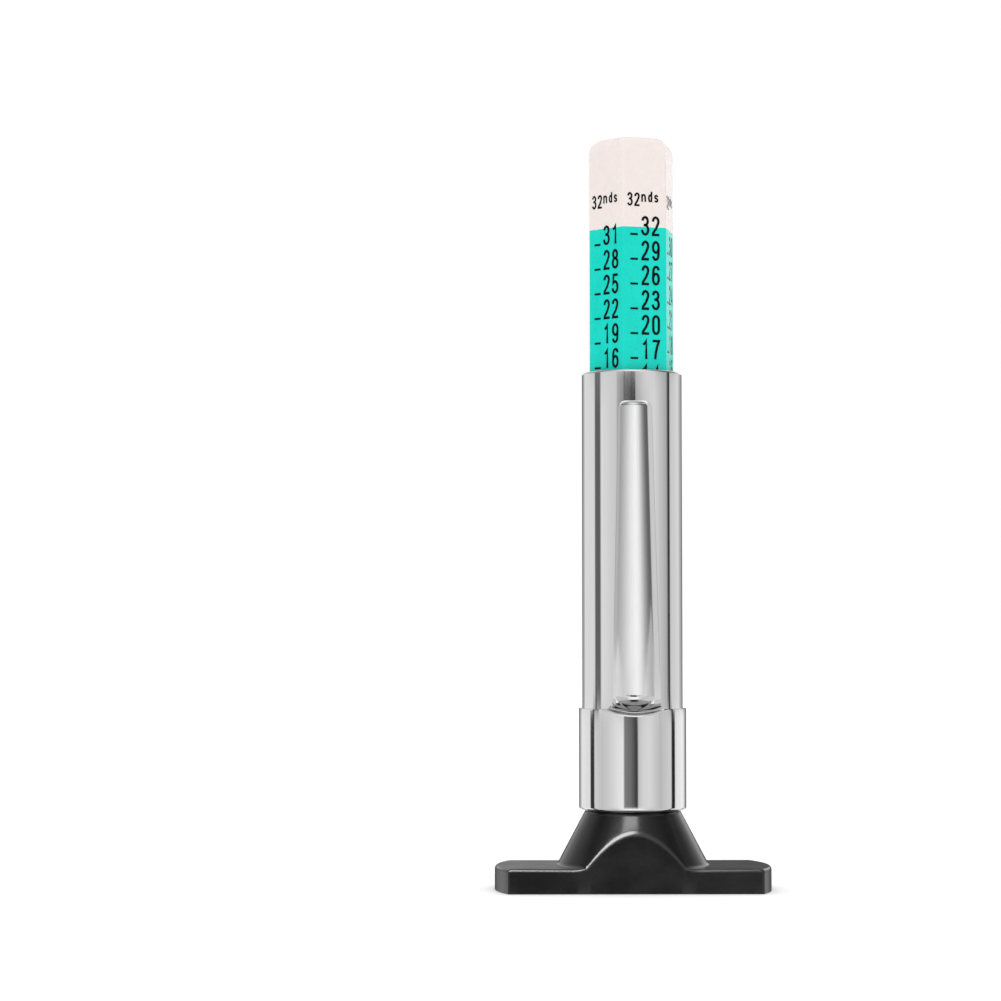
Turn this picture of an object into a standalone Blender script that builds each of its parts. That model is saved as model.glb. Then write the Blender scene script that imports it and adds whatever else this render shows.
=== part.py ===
"""Tire tread gauge: a hexagonal scale bar with a probe pin slides in a clipped barrel on a flat foot.

The origin is the gauge's zero point, the centre of the sole, where the probe's tip is level with it. Z runs
up the barrel, X along the foot and -Y towards the pocket clip.
"""

import math

import bmesh
import bpy
from mathutils import Vector

MM = 0.001
FIT = 0.05 * MM  # gap between pieces that are pressed together
RUNNING = 0.08 * MM  # gap between pieces that slide or turn on each other
SIDES = 48  # sides of a round piece, a multiple of six so that the bar's corners fall on them
PIN_SIDES = 24

# Scale: the marks are 1/32 inch apart, and this reading stands at the barrel's mouth. The bar rises until
# the zero mark is at the mouth, and goes down until the last mark is
MARK_PITCH = 25.4 * MM / 32
LAST_MARK = 32
REST_READING = 15.6
TRAVEL_UP = REST_READING * MARK_PITCH
TRAVEL_DOWN = (LAST_MARK - REST_READING) * MARK_PITCH

# Foot: a round plate with two flats, a cone neck and a spigot that is pressed into the barrel
FOOT_RADIUS = 13.25 * MM
FOOT_ACROSS_FLATS = 11.1 * MM
PLATE_HEIGHT = 2.36 * MM
PLATE_EDGE = 0.35 * MM
NECK_FOOT_RADIUS = 7.3 * MM
NECK_TOP_RADIUS = 4.55 * MM
NECK_TOP = 7.56 * MM

# Barrel tube, stood in the turned-in lower edge of the band
TUBE_RADIUS = 4.82 * MM
TUBE_WALL = 0.3 * MM
TUBE_TOP = 49.61 * MM
MOUTH_RADIUS = 4.36 * MM
MOUTH_ROLL = 0.25 * MM

# Band and pocket clip, one stamping of one sheet
SHEET = 0.28 * MM
BAND_BOTTOM = 7.61 * MM
BAND_TOP = 17.31 * MM
BAND_ROLL = 0.3 * MM
SEAM_DEGREES = 3.0
CLIP_TOP = 46.56 * MM
CLIP_ROOT_WIDTH = 5.9 * MM
CLIP_LOW_WIDTH = 4.6 * MM
CLIP_TOP_WIDTH = 3.2 * MM
CLIP_LOW_REACH = 6.95 * MM
CLIP_TOP_REACH = 5.25 * MM
CLIP_BEND = 2.0 * MM  # height over which the tongue bends out from the band
CLIP_FLARE = 1.4 * MM  # height over which its root widens
CLIP_CORNER = 0.6 * MM
RIB_LOW_WIDTH = 3.65 * MM
RIB_TOP_WIDTH = 2.5 * MM
RIB_LOW_OFFSET = -0.16 * MM  # the rib is a little nearer the tongue's edge on the -X side
RIB_TOP_OFFSET = -0.11 * MM
RIB_LOW_RISE = 0.75 * MM
RIB_TOP_RISE = 0.6 * MM
RIB_TOE = 17.9 * MM
RIB_END = 46.3 * MM
RIB_RUN_OUT = 0.9 * MM

# Bar: hexagonal above, a round spool below that carries the two rings
BAR_CORNER_RADIUS = 4.3 * MM
BAR_TOP = 72.21 * MM
BAR_TOP_ROUND = 1.05 * MM
BAR_TURN_DEGREES = 16.5  # how far the 32 face is turned from the clip, towards +X
SPOOL_RADIUS = 4.2 * MM
GROOVE_RADIUS = 3.2 * MM
STOP_GROOVE_HEIGHT = 1.1 * MM
FRICTION_GROOVE_HEIGHT = 1.8 * MM
SPOOL_FLANGE = 0.7 * MM
STOP_GROOVE_TOP = TUBE_TOP - 2 * TUBE_WALL - TRAVEL_UP + RUNNING
STOP_GROOVE = (STOP_GROOVE_TOP - STOP_GROOVE_HEIGHT, STOP_GROOVE_TOP)
FRICTION_GROOVE_TOP = STOP_GROOVE[0] - SPOOL_FLANGE
FRICTION_GROOVE = (FRICTION_GROOVE_TOP - FRICTION_GROOVE_HEIGHT, FRICTION_GROOVE_TOP)
BAR_BOTTOM = FRICTION_GROOVE[0] - SPOOL_FLANGE
SPIGOT_TOP = BAR_BOTTOM - TRAVEL_DOWN - RUNNING  # the bar lands on it at the end of its travel

# Probe pin and rings
PIN_RADIUS = 1.2 * MM
PIN_TIP_RADIUS = 0.9 * MM
PIN_TIP_LENGTH = 0.4 * MM
PIN_TIP_LIFT = 0.02 * MM
PIN_TOP = BAR_BOTTOM + 7.5 * MM
RING_RADIUS = TUBE_RADIUS - TUBE_WALL - FIT
STOP_RING_GAP_DEGREES = 12.0


def clear_scene():
    for old in list(bpy.data.objects):
        bpy.data.objects.remove(old, do_unlink=True)


def material(name, colour, roughness, metallic):
    """A Principled material with the given colour and finish."""
    made = bpy.data.materials.new(name)
    made.use_nodes = True
    shader = made.node_tree.nodes["Principled BSDF"]
    shader.inputs["Base Color"].default_value = (*colour, 1.0)
    shader.inputs["Roughness"].default_value = roughness
    shader.inputs["Metallic"].default_value = metallic
    return made


def finish(name, mesh_data, finish_material, sharp_degrees=35.0):
    """Closes a bmesh into a named object with outward faces and smooth shading."""
    bmesh.ops.recalc_face_normals(mesh_data, faces=mesh_data.faces)
    mesh = bpy.data.meshes.new(name)
    mesh_data.to_mesh(mesh)
    mesh_data.free()
    mesh.shade_smooth()
    mesh.set_sharp_from_angle(angle=math.radians(sharp_degrees))
    mesh.materials.append(finish_material)
    piece = bpy.data.objects.new(name, mesh)
    bpy.context.scene.collection.objects.link(piece)
    return piece


def bridge(mesh_data, low, high, closed=True):
    """Joins two equal rows of vertices with quads."""
    count = len(low) if closed else len(low) - 1
    for i in range(count):
        j = (i + 1) % len(low)
        mesh_data.faces.new((low[i], low[j], high[j], high[i]))


def arc(centre_r, centre_z, radius, start_degrees, end_degrees, steps):
    """Points (r, z) of a rounded edge in a turned outline."""
    points = []
    for i in range(steps + 1):
        angle = math.radians(start_degrees + (end_degrees - start_degrees) * i / steps)
        points.append((centre_r + radius * math.cos(angle), centre_z + radius * math.sin(angle)))
    return points


def turned(name, outline, finish_material, sides=SIDES, gap_degrees=0.0):
    """A closed outline of (r, z) turned about Z. A gap leaves it open at the back, like a split ring."""
    mesh_data = bmesh.new()
    start = math.pi / 2 + math.radians(gap_degrees) / 2
    sweep = 2 * math.pi - math.radians(gap_degrees)
    rows = []
    row_count = sides + 1 if gap_degrees else sides
    for i in range(row_count):
        angle = start + sweep * i / sides
        rows.append(
            [mesh_data.verts.new((r * math.cos(angle), r * math.sin(angle), z)) for r, z in outline]
        )
    for i in range(sides):
        bridge(mesh_data, rows[i], rows[(i + 1) % row_count])
    if gap_degrees:
        mesh_data.faces.new(rows[0])
        mesh_data.faces.new(rows[-1])
    return finish(name, mesh_data, finish_material)


def round_section(radius):
    """A section of constant radius, as a function of the angle about Z."""
    return lambda angle: radius


def hex_section(corner_radius, turn):
    """A hexagon with one face's normal at the angle turn, as a radius that depends on the angle about Z."""
    apothem = corner_radius * math.cos(math.pi / 6)

    def radius(angle):
        off_face = (angle - turn + math.pi / 6) % (math.pi / 3) - math.pi / 6
        return apothem / math.cos(off_face)

    return radius


def stacked(name, stations, finish_material, sides, turn=0.0):
    """A solid through sections at heights. Each station is (section, z). The first and last are capped."""
    mesh_data = bmesh.new()
    rings = []
    for section, z in stations:
        ring = []
        for i in range(sides):
            angle = turn + 2 * math.pi * i / sides
            r = section(angle)
            ring.append(mesh_data.verts.new((r * math.cos(angle), r * math.sin(angle), z)))
        rings.append(ring)
    for low, high in zip(rings, rings[1:]):
        bridge(mesh_data, low, high)
    mesh_data.faces.new(rings[0])
    mesh_data.faces.new(rings[-1])
    return finish(name, mesh_data, finish_material)


def smoothstep(low, high, value):
    """0 below low, 1 above high, and a smooth rise between."""
    t = min(max((value - low) / (high - low), 0.0), 1.0)
    return t * t * (3 - 2 * t)


def foot(plastic):
    """Plate, neck and spigot turned in one piece round the probe's bore, then cut to the two flats."""
    bore = PIN_RADIUS + RUNNING
    spigot = TUBE_RADIUS - TUBE_WALL - FIT
    edge = PLATE_EDGE
    outline = [(bore, 0.0)]
    outline += arc(FOOT_RADIUS - edge, edge, edge, -90, 0, 3)
    outline += arc(FOOT_RADIUS - edge, PLATE_HEIGHT - edge, edge, 0, 90, 3)
    outline += [(NECK_FOOT_RADIUS + 0.3 * MM, PLATE_HEIGHT), (NECK_FOOT_RADIUS, PLATE_HEIGHT + 0.15 * MM)]
    outline += [(NECK_TOP_RADIUS, NECK_TOP - 0.05 * MM), (NECK_TOP_RADIUS - 0.05 * MM, NECK_TOP)]
    outline += [(spigot - FIT, NECK_TOP), (spigot - FIT, NECK_TOP + SHEET + 2 * FIT)]
    outline += [(spigot, NECK_TOP + SHEET + 3 * FIT)]
    outline += [(spigot, SPIGOT_TOP - 0.3 * MM), (spigot - 0.3 * MM, SPIGOT_TOP), (bore, SPIGOT_TOP)]
    piece = turned("foot", outline, plastic, sides=64)

    cutter_data = bmesh.new()
    bmesh.ops.create_cube(cutter_data, size=1.0)
    size = Vector((4 * FOOT_RADIUS, FOOT_ACROSS_FLATS, 4 * SPIGOT_TOP))
    bmesh.ops.scale(cutter_data, vec=size, verts=cutter_data.verts)
    cutter = finish("foot_flats_cutter", cutter_data, plastic)
    cutter.hide_render = True
    cutter.display_type = "WIRE"
    flats = piece.modifiers.new("flats", "BOOLEAN")
    flats.operation = "INTERSECT"
    flats.object = cutter
    return piece


def barrel_tube(chrome):
    """Thin tube whose mouth is rolled inwards, so that the stop ring can't pass."""
    inner = TUBE_RADIUS - TUBE_WALL
    bottom = BAND_BOTTOM + SHEET + FIT
    outline = [(inner, bottom), (TUBE_RADIUS, bottom)]
    outline += arc(TUBE_RADIUS - MOUTH_ROLL, TUBE_TOP - MOUTH_ROLL, MOUTH_ROLL, 0, 90, 4)
    outline += [(MOUTH_RADIUS, TUBE_TOP - 0.03 * MM), (MOUTH_RADIUS, TUBE_TOP - TUBE_WALL)]
    outline += [(inner, TUBE_TOP - 2 * TUBE_WALL)]
    return turned("barrel_tube", outline, chrome)


def clip_band(chrome):
    """Sheet wrapped round the tube and butted at the back. Its lower edge turns in under the tube's end."""
    inner = TUBE_RADIUS + FIT
    outer = inner + SHEET
    lip = TUBE_RADIUS - TUBE_WALL - FIT
    outline = [(lip, BAND_BOTTOM)]
    outline += arc(outer - BAND_ROLL, BAND_BOTTOM + BAND_ROLL, BAND_ROLL, -90, 0, 4)
    outline += [(outer, BAND_TOP), (inner, BAND_TOP)]
    outline += [(inner, BAND_BOTTOM + SHEET), (lip, BAND_BOTTOM + SHEET)]
    return turned("clip_band", outline, chrome, gap_degrees=SEAM_DEGREES)


def evenly(start, end, steps):
    """Evenly spaced values from start up to, but without, end."""
    return [start + (end - start) * i / steps for i in range(steps)]


def clip_half_width(z):
    """Half the tongue's width at a height: narrower upwards, flared at its root and rounded at its end."""
    along = (z - BAND_TOP) / (CLIP_TOP - BAND_TOP)
    width = CLIP_LOW_WIDTH + (CLIP_TOP_WIDTH - CLIP_LOW_WIDTH) * along
    flare = 1 - smoothstep(BAND_TOP, BAND_TOP + CLIP_FLARE, z)
    width += (CLIP_ROOT_WIDTH - CLIP_LOW_WIDTH) * flare
    into_corner = max(0.0, z - (CLIP_TOP - CLIP_CORNER)) / CLIP_CORNER
    return width / 2 - CLIP_CORNER * (1 - math.sqrt(max(0.0, 1 - into_corner**2)))


def clip_front(x, z):
    """How far the tongue's outer face stands forward of the barrel's axis."""
    band = math.sqrt((TUBE_RADIUS + FIT + SHEET) ** 2 - x * x)
    along = (z - BAND_TOP) / (CLIP_TOP - BAND_TOP)
    flat = CLIP_LOW_REACH + (CLIP_TOP_REACH - CLIP_LOW_REACH) * along
    out = smoothstep(BAND_TOP, BAND_TOP + CLIP_BEND, z)
    rib_half = (RIB_LOW_WIDTH + (RIB_TOP_WIDTH - RIB_LOW_WIDTH) * along) / 2
    rise = RIB_LOW_RISE + (RIB_TOP_RISE - RIB_LOW_RISE) * along
    rise *= smoothstep(RIB_TOE, RIB_TOE + RIB_RUN_OUT, z)
    rise *= 1 - smoothstep(RIB_END - RIB_RUN_OUT, RIB_END, z)
    offset = RIB_LOW_OFFSET + (RIB_TOP_OFFSET - RIB_LOW_OFFSET) * along
    across = min(1.0, abs(x - offset) / rib_half)
    return band + (flat - band) * out + rise * (1 - across**2)


def pocket_clip(chrome):
    """Springy tongue with a pressed rib. It starts just above the band, and it turns about its root."""
    pivot = Vector((0.0, -(TUBE_RADIUS + FIT + SHEET), BAND_TOP))
    mesh_data = bmesh.new()
    columns = 12
    bottom = BAND_TOP + FIT
    bend_top = bottom + CLIP_BEND
    end_start = CLIP_TOP - 2.5 * CLIP_CORNER
    heights = evenly(bottom, bend_top, 8)
    heights += evenly(bend_top, end_start, 12)
    heights += evenly(end_start, CLIP_TOP - FIT, 6)
    heights.append(CLIP_TOP - FIT)
    rows = []
    for z in heights:
        half = clip_half_width(z)
        row = []
        for i in range(columns + 1):
            x = half * (2 * i / columns - 1)
            row.append(mesh_data.verts.new(Vector((x, -clip_front(x, z), z)) - pivot))
        rows.append(row)
    for low, high in zip(rows, rows[1:]):
        bridge(mesh_data, low, high, closed=False)
    piece = finish("pocket_clip", mesh_data, chrome)
    piece.location = pivot
    sheet = piece.modifiers.new("sheet", "SOLIDIFY")
    sheet.thickness = SHEET
    sheet.offset = -1.0
    sheet.use_even_offset = True
    return piece


def scale_bar(plastic, bar_axis):
    """Hexagonal bar with a rounded top, a spool with two ring grooves below, and a socket for the probe."""
    turn = math.radians(BAR_TURN_DEGREES) - math.pi / 2
    socket = round_section(PIN_RADIUS + FIT)
    spool = round_section(SPOOL_RADIUS)
    groove = round_section(GROOVE_RADIUS)
    full_hex = hex_section(BAR_CORNER_RADIUS, turn)
    stations = [(socket, PIN_TOP + FIT), (socket, BAR_BOTTOM)]
    stations += [(round_section(SPOOL_RADIUS - 0.3 * MM), BAR_BOTTOM), (spool, BAR_BOTTOM + 0.3 * MM)]
    for low, high in (FRICTION_GROOVE, STOP_GROOVE):
        stations += [(spool, low), (groove, low), (groove, high), (spool, high)]
    stations += [(spool, STOP_GROOVE[1] + 0.1 * MM), (full_hex, STOP_GROOVE[1] + 0.3 * MM)]
    for i in range(6):
        angle = math.radians(18 * i)
        pulled_in = BAR_TOP_ROUND * (1 - math.cos(angle))
        section = hex_section(BAR_CORNER_RADIUS - pulled_in / math.cos(math.pi / 6), turn)
        stations.append((section, BAR_TOP - BAR_TOP_ROUND * (1 - math.sin(angle))))
    piece = stacked("scale_bar", stations, plastic, SIDES, turn)
    piece.parent = bar_axis
    return piece


def probe_pin(steel, bar_axis):
    """Pin pressed into the bar. Its blunt tip is level with the sole at rest."""
    shank = round_section(PIN_RADIUS)
    tip = round_section(PIN_TIP_RADIUS)
    stations = [(tip, PIN_TIP_LIFT), (shank, PIN_TIP_LIFT + PIN_TIP_LENGTH), (shank, PIN_TOP - 0.3 * MM)]
    stations += [(round_section(PIN_RADIUS - 0.3 * MM), PIN_TOP)]
    piece = stacked("probe_pin", stations, steel, PIN_SIDES)
    piece.parent = bar_axis
    return piece


def stop_ring(brass, slide_axis):
    """Split ring of square section that meets the barrel's rolled mouth at the top of the travel."""
    inner = GROOVE_RADIUS + RUNNING
    low = STOP_GROOVE[0] + RUNNING
    high = STOP_GROOVE[1] - RUNNING
    outline = [(inner, low), (RING_RADIUS, low), (RING_RADIUS, high), (inner, high)]
    piece = turned("stop_ring", outline, brass, sides=40, gap_degrees=STOP_RING_GAP_DEGREES)
    piece.parent = slide_axis
    return piece


def friction_ring(rubber, slide_axis):
    """Rubber ring that rubs on the barrel's wall and holds the bar where it was left."""
    inner = GROOVE_RADIUS + RUNNING
    half_width = (RING_RADIUS - inner) / 2
    half_height = (FRICTION_GROOVE[1] - FRICTION_GROOVE[0]) / 2 - RUNNING
    middle = sum(FRICTION_GROOVE) / 2
    outline = []
    for i in range(10):
        angle = 2 * math.pi * i / 10
        outline.append(
            (inner + half_width + half_width * math.cos(angle), middle + half_height * math.sin(angle))
        )
    piece = turned("friction_ring", outline, rubber)
    piece.parent = slide_axis
    return piece


def axis_empty(name):
    """An empty on the barrel's axis that a moving body hangs from."""
    empty = bpy.data.objects.new(name, None)
    bpy.context.scene.collection.objects.link(empty)
    return empty


def build():
    clear_scene()
    black_plastic = material("black_plastic", (0.012, 0.012, 0.013), 0.45, 0.0)
    white_plastic = material("white_plastic", (0.87, 0.81, 0.78), 0.35, 0.0)
    chrome = material("chrome", (0.78, 0.79, 0.80), 0.08, 1.0)
    steel = material("steel", (0.55, 0.55, 0.56), 0.25, 1.0)
    brass = material("brass", (0.75, 0.55, 0.22), 0.3, 1.0)
    rubber = material("rubber", (0.015, 0.015, 0.015), 0.7, 0.0)

    slide_axis = axis_empty("slide_axis")
    turn_axis = axis_empty("turn_axis")
    turn_axis.parent = slide_axis

    foot(black_plastic)
    barrel_tube(chrome)
    clip_band(chrome)
    pocket_clip(chrome)
    scale_bar(white_plastic, turn_axis)
    probe_pin(steel, turn_axis)
    stop_ring(brass, slide_axis)
    friction_ring(rubber, slide_axis)


build()
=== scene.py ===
# %% [markdown]
# # A pocket tread gauge, drawn in Blender
# This tool measures how deep the grooves of a tire still are. The foot stands on two ribs of the tread, the
# white bar is pushed down until its pin touches the bottom of a groove, and the number at the mouth of the
# barrel is the depth. The engineering model is already packed, with its sizes, joints and weights. This
# lesson gives it its looks: it loads that model as a fixed frame, keeps its places and sizes, and draws each
# piece again with the roundness, the printing and the finish that the real one has.

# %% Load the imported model
import math

import bmesh
import bpy
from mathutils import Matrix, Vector


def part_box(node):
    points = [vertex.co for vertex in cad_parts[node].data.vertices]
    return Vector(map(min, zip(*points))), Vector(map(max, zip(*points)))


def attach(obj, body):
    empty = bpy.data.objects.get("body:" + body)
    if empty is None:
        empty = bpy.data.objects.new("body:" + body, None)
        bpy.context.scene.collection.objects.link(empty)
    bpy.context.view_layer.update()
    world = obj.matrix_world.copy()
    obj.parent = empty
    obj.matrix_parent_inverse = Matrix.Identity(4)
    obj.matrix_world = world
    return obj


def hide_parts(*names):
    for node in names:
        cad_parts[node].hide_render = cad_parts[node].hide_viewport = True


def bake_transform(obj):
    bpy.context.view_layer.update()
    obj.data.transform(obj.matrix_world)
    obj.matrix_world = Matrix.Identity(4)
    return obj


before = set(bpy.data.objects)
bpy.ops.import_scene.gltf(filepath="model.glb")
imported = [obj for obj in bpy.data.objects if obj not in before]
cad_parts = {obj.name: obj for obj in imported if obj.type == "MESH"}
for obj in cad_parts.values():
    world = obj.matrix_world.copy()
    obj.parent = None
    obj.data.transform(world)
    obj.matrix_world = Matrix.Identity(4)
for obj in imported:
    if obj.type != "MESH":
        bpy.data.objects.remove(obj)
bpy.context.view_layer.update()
MM = 0.001
for node in sorted(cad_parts):
    low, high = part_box(node)
    print(f"{node}: {[round(v / MM, 2) for v in low]} to {[round(v / MM, 2) for v in high]} mm")

# %% [markdown]
# ## Where the camera stands
# The gauge stands on a table and the camera is low, a quarter of a metre away, level with the lower half of
# the barrel. A long lens from nearby shows the tool upright, without the leaning sides of a wide lens. The
# camera is panned and tipped by small angles, so that the gauge stands right of the middle of the view.

# %% Set up the camera
def new_object(name, data):
    """An object in the scene, at the origin."""
    made = bpy.data.objects.new(name, data)
    bpy.context.scene.collection.objects.link(made)
    return made


CAMERA_TURN = math.radians(-3.5)
CAMERA_DISTANCE = 265.6 * MM
CAMERA_HEIGHT = 23.46 * MM
CAMERA_PAN = math.radians(2.74)
CAMERA_TILT = math.radians(2.99)
camera_lens = bpy.data.cameras.new("camera")
camera_lens.sensor_width = 36.0
camera_lens.lens = 98.9
camera_lens.clip_start = 0.01
camera_lens.clip_end = 20.0
camera = new_object("camera", camera_lens)
camera.location = (
    CAMERA_DISTANCE * math.sin(CAMERA_TURN),
    -CAMERA_DISTANCE * math.cos(CAMERA_TURN),
    CAMERA_HEIGHT,
)
camera.rotation_euler = (math.pi / 2 + CAMERA_TILT, 0.0, CAMERA_TURN + CAMERA_PAN)
bpy.context.scene.camera = camera
print(f"camera at {[round(v, 3) for v in camera.location]} m")

# %% [markdown]
# ## Small helpers for node trees
# Every finish in this lesson is a small tree of nodes. Writing such trees by hand is long, so one helper adds
# a node and wires it: what is given for an input is either a number or the output of another node. Numbers
# that are the same all over a surface are set on the shader itself, and only what varies comes by a wire.

# %% Helpers for finishes
def add_node(tree, kind, inputs=None, **settings):
    """A new node. inputs maps a socket's name or number to a value or to another node's output."""
    node = tree.nodes.new(kind)
    for name, value in settings.items():
        setattr(node, name, value)
    for name, value in (inputs or {}).items():
        if isinstance(value, bpy.types.NodeSocket):
            tree.links.new(value, node.inputs[name])
        else:
            node.inputs[name].default_value = value
    return node


def arithmetic(tree, operation, first, second=0.0):
    """The output of a Math node."""
    return add_node(tree, "ShaderNodeMath", {0: first, 1: second}, operation=operation).outputs[0]


def between(tree, value, low, high, start=0.0, end=1.0, smooth=True):
    """A value spread from low..high to start..end, held at both ends."""
    kind = "SMOOTHSTEP" if smooth else "LINEAR"
    settings = {"Value": value, "From Min": low, "From Max": high, "To Min": start, "To Max": end}
    return add_node(tree, "ShaderNodeMapRange", settings, interpolation_type=kind).outputs[0]


def mixed_colour(tree, factor, first, second):
    """The output of a colour Mix node."""
    return add_node(tree, "ShaderNodeMix", {0: factor, 6: first, 7: second}, data_type="RGBA").outputs[2]


def pattern_space(tree, stretch):
    """Object coordinates in millimetres, pressed together or drawn out along each axis."""
    place = add_node(tree, "ShaderNodeTexCoord").outputs["Object"]
    scale = tuple(s / MM for s in stretch)
    return add_node(tree, "ShaderNodeMapping", {"Vector": place, "Scale": scale}).outputs[0]


def grain(tree, stretch, detail, roughness=0.6):
    """Noise of a given stretch: one feature is about a millimetre divided by the stretch."""
    place = pattern_space(tree, stretch)
    settings = {"Vector": place, "Scale": 1.0, "Detail": detail, "Roughness": roughness}
    return add_node(tree, "ShaderNodeTexNoise", settings).outputs["Fac"]


def bump(tree, height, strength, depth):
    """The slope of a surface whose height follows a noise."""
    settings = {"Height": height, "Strength": strength, "Distance": depth}
    return add_node(tree, "ShaderNodeBump", settings).outputs[0]


def wire(tree, shader, **outputs):
    """Joins outputs to a shader's inputs, whose names are written with _ for a space."""
    for socket, output in outputs.items():
        tree.links.new(output, shader.inputs[socket.replace("_", " ")])


def new_finish(name, colour, roughness, metallic=0.0, **sockets):
    """A material with its shader's plain numbers set. It gives back the material, its tree and its shader."""
    material = bpy.data.materials.new(name)
    material.use_nodes = True
    shader = material.node_tree.nodes["Principled BSDF"]
    shader.inputs["Base Color"].default_value = (*colour, 1.0)
    shader.inputs["Roughness"].default_value = roughness
    shader.inputs["Metallic"].default_value = metallic
    for socket, value in sockets.items():
        shader.inputs[socket.replace("_", " ")].default_value = value
    return material, material.node_tree, shader


def as_light(grey):
    """A display grey from 0 to 255 as the amount of light that it stands for."""
    value = grey / 255
    return value / 12.92 if value <= 0.04045 else ((value + 0.055) / 1.055) ** 2.4


print("helpers ready")

# %% [markdown]
# ## The studio that the chrome shows
# Polished chrome has hardly any colour of its own: it shows the room. A studio is therefore built round the
# tool, with tall white cards for the pale bands, gaps between the cards for the dark lines, and a black strip
# beside the lens for the broad dark band. Here the room is the world itself. Its brightness depends on the
# compass direction, so it gives upright stripes, and on the height above the horizon: each list below is one
# ring of cards, and the rings lie above one another. Only mirror rays see them. The camera sees plain white,
# and matte surfaces get even light.

# %% Build the studio
MIRROR = 0.8  # how much of the light chrome gives back


def ring_of_cards(tree, compass, stops):
    """Brightness all round the horizon, from (degrees from the lens, grey as seen in the chrome) pairs."""
    ramp_node = add_node(tree, "ShaderNodeValToRGB", {"Fac": compass})
    ramp = ramp_node.color_ramp
    while len(ramp.elements) < len(stops):
        ramp.elements.new(0.5)
    for element, (degrees, grey) in zip(ramp.elements, stops):
        element.position = (degrees + 180) / 360
        light = as_light(grey) / MIRROR
        element.color = (light, light, light, 1.0)
    return ramp_node.outputs["Color"]


level_cards = [
    (-180, 150), (-172, 150), (-170, 90), (-160, 80), (-158, 150), (-145, 160), (-141, 213), (-97, 213),
    (-93, 94), (-79, 92), (-75, 218), (-36, 197), (-33, 160), (-20, 140), (-17, 98), (5, 66),
    (7.6, 62), (9.6, 165), (32, 200), (52, 212), (86, 168), (91.7, 50), (95.7, 50), (99, 198), (132, 213),
    (145, 165), (158, 150), (160, 80), (170, 90), (172, 100), (180, 100),
]
low_cards = [
    (-180, 185), (-172, 185), (-170, 90), (-160, 80), (-158, 150), (-147, 170), (-141, 225), (-104, 218),
    (-101.5, 50), (-91.5, 50), (-89, 205), (-68, 190), (-45, 208), (-30, 224), (-19.5, 228), (-17.5, 125),
    (-3, 105), (6, 68), (10.5, 56), (12.5, 190), (22, 208), (36, 213), (62, 184), (88, 205), (91.3, 198),
    (93.8, 34), (102.3, 34), (104.8, 220), (136, 238), (150, 175), (160, 85), (180, 150),
]
raised_cards = [
    (-180, 150), (-172, 150), (-165, 230), (-140, 200), (-98, 140), (-81, 150), (-65, 176), (-46, 201),
    (-24, 225), (0, 238), (14, 242), (24, 236), (36, 224), (46, 203), (56, 176), (65, 148), (74, 122),
    (82, 98), (98, 92), (115, 120), (135, 200), (150, 255), (166, 255), (172, 100), (180, 100),
]
high_cards = [
    (-180, 215), (-150, 190), (-112, 205), (-100, 90), (-84, 80), (-70, 130), (-40, 170), (-12, 200),
    (14, 200), (42, 160), (70, 120), (84, 80), (100, 90), (112, 205), (150, 190), (180, 215),
]
table_top = [
    (-180, 225), (-150, 225), (-148, 120), (-138, 120), (-136, 240), (-100, 220), (-97, 110), (-87, 110),
    (-84, 195), (-40, 185), (-26, 215), (-16, 246), (16, 246), (26, 215), (40, 190), (86, 200), (89, 80),
    (94, 80), (97, 220), (136, 240), (138, 120), (148, 120), (150, 225), (180, 225),
]
under_foot = [
    (-180, 135), (-60, 150), (-32, 140), (-18, 40), (18, 40), (32, 140), (60, 150), (180, 135),
]

world = bpy.data.worlds.new("studio")
world.use_nodes = True
bpy.context.scene.world = world
tree = world.node_tree
background = tree.nodes["Background"]
direction = add_node(tree, "ShaderNodeTexCoord").outputs["Generated"]
axes = add_node(tree, "ShaderNodeSeparateXYZ", {0: direction})
away = arithmetic(tree, "MULTIPLY", axes.outputs["Y"], -1.0)
bearing = arithmetic(tree, "ARCTAN2", axes.outputs["X"], away)
bearing = arithmetic(tree, "SUBTRACT", bearing, CAMERA_TURN)
bearing = arithmetic(tree, "DIVIDE", bearing, 2 * math.pi)
compass = arithmetic(tree, "FRACT", arithmetic(tree, "ADD", bearing, 0.5))
height = arithmetic(tree, "ARCSINE", axes.outputs["Z"])

room = mixed_colour(
    tree,
    between(tree, height, math.radians(-1.28), math.radians(-1.48)),
    ring_of_cards(tree, compass, level_cards),
    ring_of_cards(tree, compass, low_cards),
)
for low_edge, high_edge, cards in (
    (5.75, 5.95, raised_cards),
    (28, 40, high_cards),
    (-8, -12, table_top),
    (-38, -46, under_foot),
):
    edge = between(tree, height, math.radians(low_edge), math.radians(high_edge))
    room = mixed_colour(tree, edge, room, ring_of_cards(tree, compass, cards))
for low_edge, high_edge, grey in ((-60, -68, 135), (62, 78, 235)):
    edge = between(tree, height, math.radians(low_edge), math.radians(high_edge))
    light = as_light(grey) / MIRROR
    room = mixed_colour(tree, edge, room, (light, light, light, 1.0))

zenith = between(tree, height, 0.0, math.pi / 2, 0.52, 1.45, False)
even = add_node(tree, "ShaderNodeCombineColor", {0: zenith, 1: zenith, 2: zenith}).outputs[0]
rays = add_node(tree, "ShaderNodeLightPath")
seen = mixed_colour(tree, rays.outputs["Is Glossy Ray"], even, room)
seen = mixed_colour(tree, rays.outputs["Is Camera Ray"], seen, (1.0, 1.0, 1.0, 1.0))
tree.links.new(seen, background.inputs["Color"])
background.inputs["Strength"].default_value = 1.0
bpy.context.scene.view_settings.view_transform = "Standard"
print(f"studio ring has {len(level_cards)} edges at the lens's height")

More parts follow.
